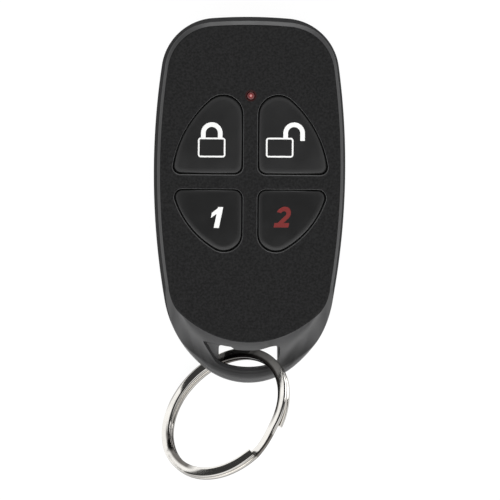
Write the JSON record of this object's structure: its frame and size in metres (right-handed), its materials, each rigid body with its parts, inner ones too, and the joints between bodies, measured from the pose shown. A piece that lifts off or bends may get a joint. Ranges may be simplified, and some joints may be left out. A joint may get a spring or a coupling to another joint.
{
  "type": "alarm key fob",
  "caption": "Handheld alarm key fob: dark rounded two-part case with four press keys, a red lamp, a coin cell inside and a split ring through the slotted lug at its end.",
  "frame": {"origin": "on the flat back face, at the middle of the case's length and width", "axes": "+Z out of the front face with the keys, +Y towards the lamp end, +X to the right seen from the front; the fob lies on its back"},
  "size_m": [0.0332, 0.0802, 0.0199],
  "materials": {
    "case_gloss": "polished black moulding",
    "case_matt": "fine spark-eroded texture",
    "key_dark": "satin",
    "legend_white": "printed ink",
    "legend_red": "printed ink",
    "plunger_white": "moulded",
    "mat_rubber": "silicone",
    "lamp_red": "clear red",
    "lamp_body": "moulded",
    "board_green": "solder mask",
    "part_black": "moulded epoxy",
    "plate_steel": "stamped",
    "lead_tin": "tinned",
    "capacitor_tan": "fired ceramic",
    "aerial_copper": "bare wire",
    "clip_spring": "spring strip",
    "contact_gold": "plated",
    "cell_steel": "drawn and polished",
    "seal_dark": "moulded",
    "screw_steel": "zinc plated",
    "ring_nickel": "nickel plated"
  },
  "bodies": {
    "case": {"front_cover": "case_gloss", "back_cover": "case_matt", "key_mat": "mat_rubber", "light_pipe": "lamp_red", "lamp_chip": "lamp_body", "circuit_board": "board_green", "switch_bases": "part_black", "switch_plates": "plate_steel", "switch_terminals": "lead_tin", "controller_chip": "part_black", "radio_chip": "part_black", "chip_leads": "lead_tin", "crystal_can": "plate_steel", "capacitors": "capacitor_tan", "resistors": "part_black", "aerial_loop": "aerial_copper", "battery_clip": "clip_spring", "battery_contact": "contact_gold", "cell_can": "cell_steel", "cell_seal": "seal_dark", "cell_cap": "cell_steel", "case_screws": "screw_steel"},
    "lock": {"lock_key": "key_dark", "lock_plunger": "plunger_white"},
    "unlock": {"unlock_key": "key_dark", "unlock_plunger": "plunger_white"},
    "first": {"first_key": "key_dark", "first_plunger": "plunger_white"},
    "second": {"second_key": "key_dark", "second_plunger": "plunger_white"},
    "ring": {"split_ring": "ring_nickel"}
  },
  "joints": [
    {"name": "lock_press", "type": "slide", "parent": "case", "child": "lock", "axis": [0, 0, -1], "range_m": [0, 0.00035], "stiffness_N_per_m": 2000, "springref_m": -0.0002, "deforming": ["key_mat"]},
    {"name": "unlock_press", "type": "slide", "parent": "case", "child": "unlock", "axis": [0, 0, -1], "range_m": [0, 0.00035], "stiffness_N_per_m": 2000, "springref_m": -0.0002, "deforming": ["key_mat"]},
    {"name": "first_press", "type": "slide", "parent": "case", "child": "first", "axis": [0, 0, -1], "range_m": [0, 0.00035], "stiffness_N_per_m": 2000, "springref_m": -0.0002, "deforming": ["key_mat"]},
    {"name": "second_press", "type": "slide", "parent": "case", "child": "second", "axis": [0, 0, -1], "range_m": [0, 0.00035], "stiffness_N_per_m": 2000, "springref_m": -0.0002, "deforming": ["key_mat"]},
    {"name": "ring_swing", "type": "hinge", "parent": "case", "child": "ring", "pos_m": [0.00033, -0.0275, 0.0058], "axis": [0.7071, 0, 0.7071], "range_deg": [-70, 50]}
  ]
}
